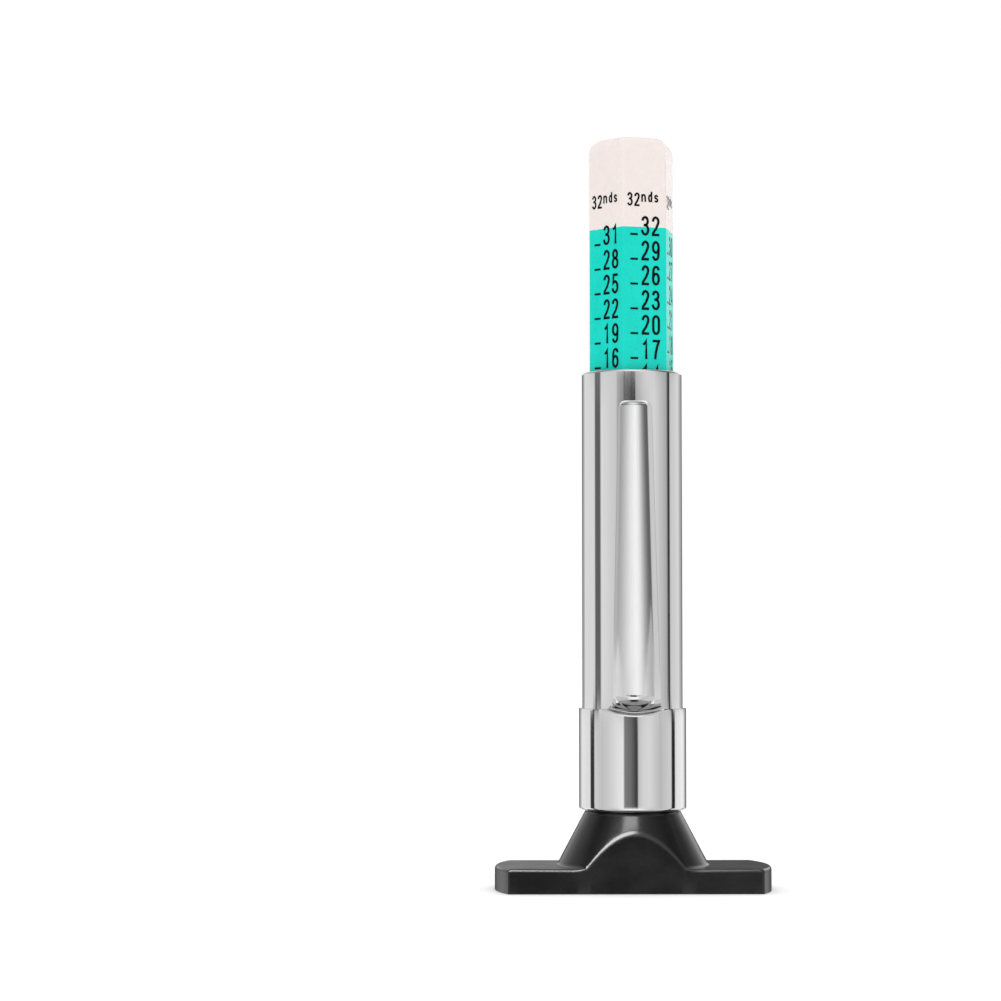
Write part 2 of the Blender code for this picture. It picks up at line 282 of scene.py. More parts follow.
# %% [markdown]
# ## Soft lamps and a pale table
# The even room is most of the light. One large lamp hangs in front and above and models the white bar gently.
# Two strip lights give the black foot its highlights, one on the cone and one along its moulded edges. They
# are made for gloss only, and light linking keeps them on the foot, because on the chrome they would show as
# spots. The table is matte and nearly white, with a little light of its own, as a lit studio table has. It is
# hidden from mirror rays, because the room above already has a table top in it for the chrome.

# %% Hang the lamps and lay the table
def soft_lamp(name, compass_degrees, lift_degrees, distance, width, depth, watts, for_gloss):
    """A rectangular lamp that looks at the middle of the barrel. The compass is measured from the lens."""
    lamp = bpy.data.lights.new(name, "AREA")
    lamp.shape = "RECTANGLE"
    lamp.size = width
    lamp.size_y = depth
    lamp.energy = watts
    lamp_object = new_object(name, lamp)
    turn = CAMERA_TURN + math.radians(compass_degrees)
    lift = math.radians(lift_degrees)
    target = Vector((0.0, 0.0, 30 * MM))
    out = Vector((math.sin(turn) * math.cos(lift), -math.cos(turn) * math.cos(lift), math.sin(lift)))
    lamp_object.location = target + out * distance
    lamp_object.rotation_mode = "QUATERNION"
    lamp_object.rotation_quaternion = (-out).to_track_quat("-Z", "Y")
    lamp_object.visible_camera = False
    lamp_object.visible_glossy = for_gloss
    lamp_object.visible_diffuse = not for_gloss
    if for_gloss:
        lamp_object.light_linking.receiver_collection = foot_light
    return lamp_object


foot_light = bpy.data.collections.new("lit_by_the_strips")
soft_lamp("key_lamp", -4, 50, 0.7, 0.3, 0.16, 0.48, False)
soft_lamp("cone_strip", -6, 54, 0.7, 0.3, 0.16, 1.15, True)
soft_lamp("edge_strip", -21, 30, 0.7, 0.62, 0.3, 10.0, True)

table_paper, tree, shader = new_finish(
    "table_paper",
    (0.94, 0.94, 0.935),
    0.7,
    Specular_IOR_Level=0.0,
    Emission_Color=(1.0, 1.0, 1.0, 1.0),
    Emission_Strength=0.15,
)
fibre = grain(tree, (0.4, 0.4, 0.4), 4.0)
wire(tree, shader, Base_Color=mixed_colour(tree, fibre, (0.93, 0.93, 0.925, 1), (0.95, 0.95, 0.95, 1)))
TABLE_HALF = 4.0
TABLE_HEIGHT = -0.02 * MM
table_mesh = bpy.data.meshes.new("table")
around = ((-1, -1), (1, -1), (1, 1), (-1, 1))
corners = [(x * TABLE_HALF, y * TABLE_HALF, TABLE_HEIGHT) for x, y in around]
table_mesh.from_pydata(corners, [], [(0, 1, 2, 3)])
table_mesh.materials.append(table_paper)
table = new_object("table", table_mesh)
table.visible_glossy = False
print("three lamps and a table")

# %% [markdown]
# ## Finish: bright chrome
# The barrel and its clip are brass or steel, plated with nickel and a thin bright chrome. The tube was drawn
# through a die and polished along its length, so under the mirror there are very fine upright lines. They
# could be modelled, but they are far thinner than any mesh, so stretched noise does it: it varies the colour,
# the roughness and the bump a little. A second, coarser noise gives the hazy patches that handling leaves.

# %% Mix the chrome
chrome, tree, shader = new_finish("bright_chrome", (0.8, 0.8, 0.8), 0.06, 1.0)
lines = grain(tree, (9.0, 9.0, 0.05), 3.0)
haze = grain(tree, (0.35, 0.35, 0.2), 4.0)
line_tint = between(tree, lines, 0.3, 0.7)
colour = mixed_colour(tree, line_tint, (0.785, 0.785, 0.79, 1), (0.82, 0.82, 0.82, 1))
hazy = between(tree, haze, 0.45, 0.75, 0.035, 0.065)
rubbed = between(tree, lines, 0.35, 0.75, 0.0, 0.025)
gloss = arithmetic(tree, "ADD", hazy, rubbed)
wire(tree, shader, Base_Color=colour, Roughness=gloss, Normal=bump(tree, lines, 0.04, 0.01 * MM))
print("chrome mixed")

# %% [markdown]
# ## Shaping tools for turned pieces
# Most pieces were turned or moulded round one axis. Such a piece is drawn as half of its section, a closed
# outline of corners in (distance from the axis, height), and each corner gets a small radius, because no
# real edge is sharp and the radius is what catches the light. The Screw modifier could turn the outline, but
# building the sections ourselves lets the same tool leave a gap or change the section from place to place.

# %% Helpers for turned pieces
def softened(corners, steps=5):
    """Rounds a closed outline. Each corner is (distance, height, radius); each gives steps points."""
    points = []
    count = len(corners)
    for i, (r, z, radius) in enumerate(corners):
        here = Vector((r, z))
        back = Vector(corners[i - 1][:2]) - here
        ahead = Vector(corners[(i + 1) % count][:2]) - here
        reach_back = min(radius, 0.45 * back.length)
        reach_ahead = min(radius, 0.45 * ahead.length)
        start = here + (back.normalized() * reach_back if back.length > 0 else back)
        end = here + (ahead.normalized() * reach_ahead if ahead.length > 0 else ahead)
        for k in range(steps):
            t = k / (steps - 1)
            points.append(start * (1 - t) ** 2 + here * 2 * t * (1 - t) + end * t**2)
    return points


def ring_wall(mesh_data, rings, closed_round=True, closed_section=True):
    """Skins a list of sections, each a list of vertices, with quads."""
    count = len(rings)
    for i in range(count if closed_round else count - 1):
        low, high = rings[i], rings[(i + 1) % count]
        points = len(low)
        for j in range(points if closed_section else points - 1):
            k = (j + 1) % points
            mesh_data.faces.new((low[j], low[k], high[k], high[j]))


def section_at(mesh_data, outline, angle):
    """The vertices of an outline that stands in one direction round the axis."""
    cos, sin = math.cos(angle), math.sin(angle)
    return [mesh_data.verts.new((p.x * cos, p.x * sin, p.y)) for p in outline]


MERGE = 0.0005 * MM


def settle(mesh_data):
    """Merges doubled vertices, drops empty faces and points every face outwards."""
    bmesh.ops.remove_doubles(mesh_data, verts=mesh_data.verts, dist=MERGE)
    bmesh.ops.dissolve_degenerate(mesh_data, edges=mesh_data.edges, dist=MERGE)
    bmesh.ops.recalc_face_normals(mesh_data, faces=mesh_data.faces)


def make_piece(name, mesh_data, finish, sharp_degrees=40.0):
    """An object at the origin from mesh data, smooth except at its sharp edges."""
    mesh = bpy.data.meshes.new(name)
    mesh_data.to_mesh(mesh)
    mesh_data.free()
    mesh.materials.append(finish)
    mesh.shade_smooth()
    mesh.set_sharp_from_angle(angle=math.radians(sharp_degrees))
    return new_object(name, mesh)


def even_light(piece):
    """Lets wide faces lead the shading, so that a small rounded edge doesn't darken the face beside it."""
    weigh = piece.modifiers.new("even_light", "WEIGHTED_NORMAL")
    weigh.keep_sharp = True
    weigh.weight = 80
    return piece


def turned(name, corners, finish, sides=160, gap_degrees=0.0, steps=5):
    """A piece turned from a closed outline of corners. A gap, if there is one, is at the back, at +Y."""
    outline = softened(corners, steps)
    mesh_data = bmesh.new()
    gap = math.radians(gap_degrees)
    start = (math.pi + gap) / 2
    count = sides + 1 if gap else sides
    angles = [start + (2 * math.pi - gap) * i / sides for i in range(count)]
    sections = [section_at(mesh_data, outline, angle) for angle in angles]
    ring_wall(mesh_data, sections, closed_round=not gap)
    if gap:
        mesh_data.faces.new(sections[0])
        mesh_data.faces.new(sections[-1])
    settle(mesh_data)
    return even_light(make_piece(name, mesh_data, finish))


def triangles(piece):
    """How many triangles a piece has with its modifiers."""
    shown = piece.evaluated_get(bpy.context.evaluated_depsgraph_get())
    mesh = shown.to_mesh()
    mesh.calc_loop_triangles()
    count = len(mesh.loop_triangles)
    shown.to_mesh_clear()
    return count


print("turning tools ready")

# %% [markdown]
# ## The barrel tube
# A thin drawn tube whose mouth is rolled inwards, so the bar can't be pulled out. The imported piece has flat
# sides, which would break up every reflection, so it is turned again with many more sides and with the roll
# as a true curve. A surface of revolution could also be made with the Spin tool.

# %% Turn the barrel tube
tube_low, tube_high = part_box("barrel_tube")
TUBE = tube_high.x
TUBE_WALL = 0.3 * MM
MOUTH = 4.36 * MM
tube_corners = [
    (TUBE - TUBE_WALL, tube_low.z, 0.05 * MM),
    (TUBE, tube_low.z, 0.08 * MM),
    (TUBE, tube_high.z, 0.22 * MM),
    (MOUTH, tube_high.z, 0.1 * MM),
    (MOUTH, tube_high.z - TUBE_WALL, 0.1 * MM),
    (TUBE - TUBE_WALL, tube_high.z - 2 * TUBE_WALL, 0.1 * MM),
]
tube = turned("chromed_tube", tube_corners, chrome, sides=192, steps=7)
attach(tube, "barrel")
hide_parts("barrel_tube")
print(f"tube {2 * TUBE / MM:.2f} mm across, {triangles(tube)} triangles")

# %% [markdown]
# ## The band and its pocket clip, one stamping
# The band and the clip are one strip of spring sheet. It was blanked flat, a rib was pressed into the tongue
# to stiffen it, the tongue was bent out from the band, and the strip was wrapped round the tube and butted at
# the back. A box with loop cuts could be pushed into this shape by hand. Here the outer face is written as a
# rule, how far the sheet stands forward at each width and height, because a rule gives the even curves that
# chrome needs. A Solidify modifier gives the sheet its thickness and a Bevel breaks its edges.

# %% Write the rule of the sheet
band_low, band_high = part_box("clip_band")
clip_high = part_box("pocket_clip")[1]
SHEET = 0.28 * MM
BAND = band_high.x
BAND_TOP = band_high.z
CLIP_TOP = clip_high.z + 0.05 * MM
ROOT_HALF = 2.35 * MM
ROOT_FILLET = 1.0 * MM
END_CORNER = 0.75 * MM
INNER_BEND = 0.35 * MM
OUTER_BEND = 1.05 * MM
DIP = 0.72 * MM
# Sizes that change along the clip are pairs: at the band, at the clip's end.
TONGUE_HALF = (2.3 * MM, 1.6 * MM)
TONGUE_REACH = (6.95 * MM, 5.13 * MM)
RIB_HALF = (1.83 * MM, 1.25 * MM)
RIB_MIDDLE = (-0.16 * MM, -0.11 * MM)
RIB_RISE = (0.75 * MM, 0.6 * MM)
RIB_TOE = BAND_TOP + 1.25 * MM
RIB_END = CLIP_TOP - 0.6 * MM


def along_clip(z, at_band, at_top):
    """A size that changes evenly from the band to the clip's end."""
    t = (z - BAND_TOP) / (CLIP_TOP - BAND_TOP)
    return at_band + (at_top - at_band) * t


def clip_half_width(z):
    """Half the tongue's width: filleted into the band, narrower upwards, rounded at its end."""
    half = along_clip(z, *TONGUE_HALF)
    up = z - BAND_TOP
    if up < ROOT_FILLET:
        half += ROOT_FILLET - math.sqrt(ROOT_FILLET**2 - (ROOT_FILLET - up) ** 2)
    into_corner = max(0.0, z - (CLIP_TOP - END_CORNER)) / END_CORNER
    return half - END_CORNER * (1 - math.sqrt(max(0.0, 1 - into_corner**2)))


def clip_dip(x):
    """How far below the band's top the bend starts: most in the middle, nothing at the fillets."""
    return DIP * max(0.0, 1 - (x / (3.3 * MM)) ** 2)


def clip_face(x, z, out):
    """How far forward the sheet's outer face is. out goes from 0 on the band to 1 on the tongue."""
    band_face = math.sqrt(BAND**2 - x * x)
    rib_half = along_clip(z, *RIB_HALF)
    off_middle = x - along_clip(z, *RIB_MIDDLE)
    below = max(0.0, RIB_TOE - z) / (1.2 * MM)
    above = max(0.0, z - RIB_END) / (0.55 * MM)
    across = off_middle / rib_half
    rib = along_clip(z, *RIB_RISE) * max(0.0, 1 - across**2 - below**1.5 - above**3)
    beside_rib = max(0.0, abs(off_middle) - rib_half)
    fall = beside_rib * (0.7 if off_middle < 0 else 0.36)
    tongue = along_clip(z, *TONGUE_REACH) - fall
    return band_face + (tongue - band_face) * out + rib


print(f"sheet {SHEET / MM:.2f} mm thick, clip {(CLIP_TOP - BAND_TOP) / MM:.1f} mm long")

# %% Form the stamping
ROOT = ROOT_HALF + ROOT_FILLET - 0.05 * MM
root_turn = math.asin(ROOT / BAND)
SEAM = math.radians(1.5)
side_steps = root_steps = 56
turns = [-math.pi + SEAM + (math.pi - SEAM - root_turn) * i / side_steps for i in range(side_steps)]
shares = [2 * i / root_steps - 1 for i in range(root_steps + 1)]
turns += [math.asin(share * ROOT / BAND) for share in shares]
turns += [-turn for turn in reversed(turns[:side_steps])]

lip = TUBE - TUBE_WALL - 0.05 * MM
roll = 0.3 * MM
straight = BAND - roll
rolled_top = band_low.z + roll
plain_top = BAND_TOP - DIP - 0.5 * MM
band_profile = [(lip, band_low.z), ((lip + straight) / 2, band_low.z)]
for i in range(7):
    angle = math.radians(-90 + 15 * i)
    band_profile.append((straight + roll * math.cos(angle), rolled_top + roll * math.sin(angle)))
band_profile += [(BAND, rolled_top + (plain_top - rolled_top) * i / 12) for i in range(1, 13)]
band_profile += [(BAND, plain_top + (BAND_TOP - plain_top) * i / 10) for i in range(1, 11)]

sheet_data = bmesh.new()
rows = []
for radius, z in band_profile:
    row = []
    for turn in turns:
        x = radius * math.sin(turn)
        in_front = abs(turn) < math.pi / 2 and abs(x) <= ROOT
        pressed = max(0.0, z - plain_top) / (BAND_TOP - plain_top) * clip_dip(x) if in_front else 0.0
        row.append(sheet_data.verts.new((x, -radius * math.cos(turn), z - pressed)))
    rows.append(row)
ring_wall(sheet_data, rows, closed_round=False, closed_section=False)

bend_steps = []
for i in range(1, 9):
    angle = math.pi / 2 * i / 8
    bend_steps.append((INNER_BEND * math.sin(angle), 0.22 * (1 - math.cos(angle))))
for i in range(19):
    angle = math.pi / 2 * i / 18
    bend_steps.append((INNER_BEND + OUTER_BEND * (1 - math.cos(angle)), 0.34 + 0.66 * math.sin(angle)))
long_steps = [(1.4 + 0.1 * i) * MM for i in range(1, 22)] + [(3.5 + 0.5 * i) * MM for i in range(1, 60)]
clip_long = CLIP_TOP - BAND_TOP
bend_steps += [(up, 1.0) for up in long_steps if up < clip_long - 2.8 * MM]
bend_steps += [(clip_long - 2.75 * MM + 0.1 * MM * i, 1.0) for i in range(20)]
bend_steps += [(clip_long - 0.75 * MM * (1 - math.sin(math.radians(9 * i))), 1.0) for i in range(1, 10)]
bend_steps.append((clip_long - 0.002 * MM, 1.0))

tongue_rows = [rows[-1][side_steps : side_steps + root_steps + 1]]
for up, out in bend_steps:
    half = clip_half_width(BAND_TOP + up)
    row = []
    for share in shares:
        x = share * half
        z = BAND_TOP + up - clip_dip(x) * max(0.0, 1 - up / (6 * MM))
        row.append(sheet_data.verts.new((x, -clip_face(x, z, out), z)))
    tongue_rows.append(row)
ring_wall(sheet_data, tongue_rows, closed_round=False, closed_section=False)
bmesh.ops.recalc_face_normals(sheet_data, faces=sheet_data.faces)
facing = sum(f.normal.dot(f.calc_center_median()) for f in sheet_data.faces)
if facing < 0:
    bmesh.ops.reverse_faces(sheet_data, faces=sheet_data.faces)
blank = make_piece("blank", sheet_data, chrome)
thick = blank.modifiers.new("thickness", "SOLIDIFY")
thick.thickness = SHEET
thick.offset = -1.0
thick.use_even_offset = True
broken = blank.modifiers.new("edges", "BEVEL")
broken.width = 0.06 * MM
broken.segments = 3
broken.limit_method = "ANGLE"
broken.angle_limit = math.radians(50)


def baked(source, name):
    """A plain mesh object from source with its modifiers applied. The source is removed."""
    shown = source.evaluated_get(bpy.context.evaluated_depsgraph_get())
    mesh = bpy.data.meshes.new_from_object(shown)
    bpy.data.objects.remove(source)
    mesh.name = name
    return new_object(name, mesh)


stamping = baked(blank, "clip_stamping")
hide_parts("clip_band", "pocket_clip")
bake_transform(stamping)
print(f"stamping has {triangles(stamping)} triangles")

# %% [markdown]
# ## Finish: black moulded plastic
# The foot is injection moulded in black nylon or ABS. It isn't as black as it seems: it has a satin skin that
# picks up the sheen of pale surfaces at a flat angle. Fine noise in the bump gives the skin, a soft larger
# noise varies the gloss where the melt flowed, and the colour stays between two very dark greys.

# %% Mix the black plastic
black_plastic, tree, shader = new_finish("black_plastic", (0.007, 0.007, 0.007), 0.18, IOR=1.5)
skin = grain(tree, (6.0, 6.0, 6.0), 3.0)
flow = grain(tree, (0.3, 0.3, 0.5), 3.0, 0.5)
colour = mixed_colour(tree, flow, (0.005, 0.005, 0.005, 1), (0.009, 0.009, 0.009, 1))
flowed = between(tree, flow, 0.3, 0.7, 0.15, 0.2)
sheen = arithmetic(tree, "ADD", flowed, between(tree, skin, 0.3, 0.7, 0.0, 0.04))
wire(tree, shader, Base_Color=colour, Roughness=sheen, Normal=bump(tree, skin, 0.12, 0.02 * MM))
print("black plastic mixed")

# %% [markdown]
# ## The foot
# A round plate with a cone on it, cut to two flats so that it fits between the walls of a tire's tread. The
# flats also slice the cone, which leaves the arch on the front. It could be a turned body and a Boolean cut,
# but the cut would leave hard edges. Instead each direction round the axis gets its own section, cut off
# where the flat is, and the corners are rounded afterwards, so the arch has a moulded edge all along.

# %% Mould the foot
foot_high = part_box("foot")[1]
PLATE = foot_high.x
FLAT = foot_high.y
PLATE_TOP = 2.36 * MM
CONE_FOOT = 7.3 * MM
CONE_TOP = 4.55 * MM
CONE_TOP_Z = band_low.z - 0.05 * MM
BORE = 1.28 * MM
cone_slope = (CONE_TOP_Z - PLATE_TOP) / (CONE_FOOT - CONE_TOP)


def soft_smaller(a, b, blend):
    """The smaller of two lengths, with a rounded change from one to the other."""
    t = min(max(0.5 + 0.5 * (b - a) / blend, 0.0), 1.0)
    return b + (a - b) * t - blend * t * (1 - t)


def foot_section(angle):
    """The foot's closed section in one direction round the axis."""
    to_flat = FLAT / max(abs(math.sin(angle)), 1e-6)
    edge = min(soft_smaller(PLATE, to_flat, 0.16 * MM), PLATE)
    if edge > CONE_FOOT:
        shoulder = [(edge, PLATE_TOP, 0.4 * MM), (CONE_FOOT, PLATE_TOP, 0.35 * MM)]
    else:
        arch = PLATE_TOP + (CONE_FOOT - edge) * cone_slope
        step = 0.4 * MM
        shoulder = [(edge, arch, 0.42 * MM), (edge - step, arch + step * cone_slope, 0.0)]
    return softened(
        [
            (BORE, 0.0, 0.05 * MM),
            (edge, 0.0, 0.08 * MM),
            *shoulder,
            (CONE_TOP, CONE_TOP_Z, 0.12 * MM),
            (lip - 0.05 * MM, CONE_TOP_Z, 0.02 * MM),
            (lip - 0.05 * MM, CONE_TOP_Z + SHEET + 0.15 * MM, 0.02 * MM),
            (lip, CONE_TOP_Z + SHEET + 0.2 * MM, 0.02 * MM),
            (lip, foot_high.z, 0.3 * MM),
            (BORE, foot_high.z, 0.1 * MM),
        ]
    )


quarter = [1.5 * i for i in range(16)] + [23.2 + 0.25 * i for i in range(14)]
quarter += [27.5 + 1.5 * i for i in range(13)] + [46.5 + 0.5 * i for i in range(11)]
quarter += [53.0 + 1.5 * i for i in range(25)]
whole = [(base + way * d) % 360 for d in quarter for base in (0, 180) for way in (1, -1)]
directions = sorted({round(math.radians(d), 7) for d in whole})
foot_data = bmesh.new()
ring_wall(foot_data, [section_at(foot_data, foot_section(angle), angle) for angle in directions])
settle(foot_data)
foot = even_light(make_piece("moulded_foot", foot_data, black_plastic, 50.0))
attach(foot, "barrel")
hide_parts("foot")
foot_light.objects.link(foot)
print(f"foot {2 * PLATE / MM:.1f} x {2 * FLAT / MM:.1f} mm, {triangles(foot)} triangles")

# %% [markdown]
# ## Finish: off-white plastic with colour zones
# The bar is off-white styrene. Three of its six faces, those in thirty-seconds of an inch, are printed with
# the zones that drivers know: green for plenty of tread, yellow for little, red for too little. The zones are
# wide and plain, so they are painted by the material, from the height on the bar and from the side of it,
# with a slightly ragged edge as screen printing has. A little light goes into such plastic, so it has some
# subsurface scattering, and its satin skin is finely mottled.

# %% Mix the bar's plastic
BAR_TURN = math.radians(16.5)  # how far the first inch face is turned from the clip
ZERO_MARK = 37.24 * MM
INCH_MARK = 25.4 * MM / 32
ZONE_TOP = ZERO_MARK + 26.15 * MM
white_plastic, tree, shader = new_finish(
    "white_plastic",
    (0.89, 0.8, 0.77),
    0.28,
    IOR=1.49,
    Specular_IOR_Level=0.28,
    Subsurface_Weight=0.25,
    Subsurface_Radius=(1.0, 0.7, 0.6),
    Subsurface_Scale=0.6 * MM,
)
place = add_node(tree, "ShaderNodeTexCoord").outputs["Object"]
ragged = grain(tree, (4.0, 4.0, 4.0), 2.0)
wobble = between(tree, ragged, 0.2, 0.8, -0.05 * MM, 0.05 * MM, False)
axes = add_node(tree, "ShaderNodeSeparateXYZ", {0: place})
up = arithmetic(tree, "ADD", axes.outputs["Z"], wobble)
along_x = arithmetic(tree, "MULTIPLY", axes.outputs["X"], math.sin(BAR_TURN))
along_y = arithmetic(tree, "MULTIPLY", axes.outputs["Y"], math.cos(BAR_TURN))
toward = arithmetic(tree, "SUBTRACT", along_x, along_y)
inch_side = between(tree, arithmetic(tree, "ADD", toward, wobble), -0.06 * MM, 0.06 * MM)
below_top = between(tree, up, ZONE_TOP, ZONE_TOP - 0.06 * MM)
above_end = between(tree, up, ZERO_MARK - 0.6 * MM, ZERO_MARK - 0.5 * MM)
printed = arithmetic(tree, "MULTIPLY", inch_side, arithmetic(tree, "MULTIPLY", below_top, above_end))
mottle = grain(tree, (0.8, 0.8, 0.5), 3.0)
yellow_top = ZERO_MARK + 5.5 * INCH_MARK
red_top = ZERO_MARK + 2.5 * INCH_MARK
green = mixed_colour(tree, mottle, (0.001, 0.65, 0.53, 1), (0.004, 0.76, 0.64, 1))
yellow = mixed_colour(tree, mottle, (0.86, 0.62, 0.02, 1), (0.92, 0.70, 0.04, 1))
red = mixed_colour(tree, mottle, (0.68, 0.03, 0.03, 1), (0.78, 0.05, 0.05, 1))
zones = mixed_colour(tree, between(tree, up, yellow_top, yellow_top - 0.05 * MM), green, yellow)
zones = mixed_colour(tree, between(tree, up, red_top, red_top - 0.05 * MM), zones, red)
bare = mixed_colour(tree, mottle, (0.88, 0.795, 0.76, 1), (0.9, 0.815, 0.785, 1))
colour = mixed_colour(tree, printed, bare, zones)
satin = between(tree, mottle, 0.3, 0.7, 0.24, 0.32)
pits = bump(tree, grain(tree, (5.0, 5.0, 5.0), 3.0), 0.04, 0.03 * MM)
wire(tree, shader, Base_Color=colour, Roughness=satin, Normal=pits)
print(f"green from {ZONE_TOP / MM:.1f} mm down to {yellow_top / MM:.1f} mm")

# %% [markdown]
# ## The scale bar
# A hexagonal bar with rounded corners and a rounded top, moulded in one piece with the spool that carries its
# two rings. It is drawn as sections at heights, and each section is a hexagon whose corners are arcs. The top
# pulls the hexagon in along a quarter circle. A six-sided cylinder with bevels would do as well, but the
# sections also give the round spool below in the same mesh.

# %% Mould the bar
bar_low, bar_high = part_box("scale_bar")
APOTHEM = 3.76 * MM
BAR_CORNER = 0.35 * MM


def polar(distance, angle):
    """A flat place at a distance and an angle from the axis."""
    return Vector((distance * math.cos(angle), distance * math.sin(angle)))


def hexagon(apothem, corner):
    """Points of a hexagon with rounded corners, one face's normal at the bar's turn, anticlockwise."""
    centre = (apothem - corner) / math.cos(math.pi / 6)
    arcs = []
    for k in range(6):
        to_corner = BAR_TURN - math.pi / 3 + k * math.pi / 3
        angles = [to_corner + math.radians(10 * i - 30) for i in range(7)]
        arcs.append([polar(centre, to_corner) + polar(corner, angle) for angle in angles])
    points = []
    for arc, next_arc in zip(arcs, arcs[1:] + arcs[:1]):
        points += arc + [arc[-1].lerp(next_arc[0], i / 6) for i in range(1, 6)]
    return points


full = hexagon(APOTHEM, BAR_CORNER)


def round_station(radius, z):
    """A round section at a height, with its points in the directions of the hexagon's."""
    return [polar(radius, math.atan2(y, x)) for x, y in full], z


PIN_HOLE = 1.25 * MM
SPOOL = 4.2 * MM
GROOVE = 3.2 * MM
GAP = 0.08 * MM
TOP_ROUND = 1.35 * MM
stop_low, stop_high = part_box("stop_ring")
rubber_low, rubber_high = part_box("friction_ring")
stations = [
    round_station(PIN_HOLE, bar_low.z + 7.5 * MM),
    round_station(PIN_HOLE, bar_low.z),
    round_station(SPOOL - 0.3 * MM, bar_low.z),
    round_station(SPOOL, bar_low.z + 0.3 * MM),
]
for low, high in ((rubber_low.z, rubber_high.z), (stop_low.z, stop_high.z)):
    stations += [round_station(SPOOL, low - GAP), round_station(GROOVE, low - GAP)]
    stations += [round_station(GROOVE, high + GAP), round_station(SPOOL, high + GAP)]
stations.append(round_station(SPOOL, stop_high.z + 0.2 * MM))
hexagon_low = stop_high.z + 0.4 * MM
hexagon_tall = bar_high.z - TOP_ROUND - hexagon_low
stations += [(full, hexagon_low + hexagon_tall * i / 30) for i in range(31)]
for i in range(1, 13):
    angle = math.radians(7.5 * i)
    pulled = TOP_ROUND * (1 - math.cos(angle))
    section = hexagon(APOTHEM - pulled, BAR_CORNER + 0.9 * pulled)
    stations.append((section, bar_high.z - TOP_ROUND * (1 - math.sin(angle))))
last = stations[-1][0]
for share in (0.85, 0.6, 0.35, 0.12):
    stations.append(([(x * share, y * share) for x, y in last], bar_high.z))
bar_data = bmesh.new()
rings = [[bar_data.verts.new((x, y, z)) for x, y in section] for section, z in stations]
ring_wall(bar_data, rings, closed_round=False)
bar_data.faces.new(rings[0])
bar_data.faces.new(rings[-1])
settle(bar_data)
bar = even_light(make_piece("printed_bar", bar_data, white_plastic, 35.0))
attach(bar, "bar")
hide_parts("scale_bar")
print(f"bar {2 * APOTHEM / MM:.2f} mm across its flats, {triangles(bar)} triangles")

# %% [markdown]
# ## Finish: printing inks
# The numbers and marks are pad printed. Black ink lies on the inch faces and red on the metric ones. Ink is a
# film of a hundredth of a millimetre with a soft gloss, and it is never quite even, so a fine noise thins its
# colour.

# %% Mix the inks
def ink(name, dense, thin):
    """A printed film, between two close colours."""
    material, tree, shader = new_finish(name, dense, 0.4, Specular_IOR_Level=0.12)
    cover = between(tree, grain(tree, (5.0, 5.0, 5.0), 3.0), 0.55, 0.8)
    wire(tree, shader, Base_Color=mixed_colour(tree, cover, (*dense, 1), (*thin, 1)))
    return material


black_ink = ink("black_ink", (0.003, 0.003, 0.004), (0.010, 0.014, 0.014))
red_ink = ink("red_ink", (0.6, 0.012, 0.03), (0.7, 0.06, 0.08))
FILM = 0.012 * MM
print("inks mixed")

# %% [markdown]
# ## The scale's marks
# Here is the rule of this scale: every third mark is on the same face, so the three inch faces share the
# thirty-three marks between them, and the three metric faces share their twenty-six. One face would be too
# crowded for the numbers. Marks that follow a rule are work for Geometry Nodes: a line of points down the
# bar, each turned by its number to its face, a small block on each, then realised as one mesh. The tree's
# inputs are the scale's own sizes, so the same tree makes both scales.

# %% Build the tree for the marks
tree = bpy.data.node_groups.new("scale_marks", "GeometryNodeTree")
marks_tree = tree
lengths = ("Pitch", "Top height", "Middle face", "Turn to next", "Face distance", "Mark start")
lengths += ("Mark length", "Mark thickness", "Film")
kinds = {"Marks": "Int", **dict.fromkeys(lengths, "Float"), "Ink": "Material"}
sockets = {}
for name, kind in kinds.items():
    kind = f"NodeSocket{kind}"
    item = tree.interface.new_socket(name=name, in_out="INPUT", socket_type=kind)
    sockets[name] = item.identifier
tree.interface.new_socket(name="Geometry", in_out="OUTPUT", socket_type="NodeSocketGeometry")
given = tree.nodes.new("NodeGroupInput").outputs
result = tree.nodes.new("NodeGroupOutput")


def place_of(x=0.0, y=0.0, z=0.0):
    """Three numbers or outputs as one place."""
    return add_node(tree, "ShaderNodeCombineXYZ", {0: x, 1: y, 2: z}).outputs[0]


top = place_of(z=given["Top height"])
step = place_of(z=arithmetic(tree, "MULTIPLY", given["Pitch"], -1.0))
settings = {"Count": given["Marks"], "Start Location": top, "Offset": step}
column = add_node(tree, "GeometryNodeMeshLine", settings, mode="OFFSET")
size = place_of(given["Mark length"], given["Film"], given["Mark thickness"])
block = add_node(tree, "GeometryNodeMeshCube", {"Size": size})
half = arithmetic(tree, "MULTIPLY", given["Mark length"], 0.5)
across = arithmetic(tree, "ADD", given["Mark start"], half)
shift = place_of(across, arithmetic(tree, "MULTIPLY", given["Face distance"], -1.0))
settings = {"Geometry": block.outputs["Mesh"], "Translation": shift}
on_the_face = add_node(tree, "GeometryNodeTransform", settings).outputs[0]
number = add_node(tree, "GeometryNodeInputIndex").outputs[0]
third = arithmetic(tree, "MODULO", arithmetic(tree, "ADD", number, 1.0), 3.0)
side = arithmetic(tree, "SUBTRACT", third, 1.0)
face_turn = arithmetic(tree, "MULTIPLY", side, given["Turn to next"])
face_turn = arithmetic(tree, "ADD", face_turn, given["Middle face"])
to_rotation = add_node(tree, "FunctionNodeEulerToRotation", {0: place_of(z=face_turn)}).outputs[0]
settings = {"Points": column.outputs["Mesh"], "Instance": on_the_face, "Rotation": to_rotation}
blocks = add_node(tree, "GeometryNodeInstanceOnPoints", settings)
real = add_node(tree, "GeometryNodeRealizeInstances", {"Geometry": blocks.outputs[0]})
settings = {"Geometry": real.outputs[0], "Material": given["Ink"]}
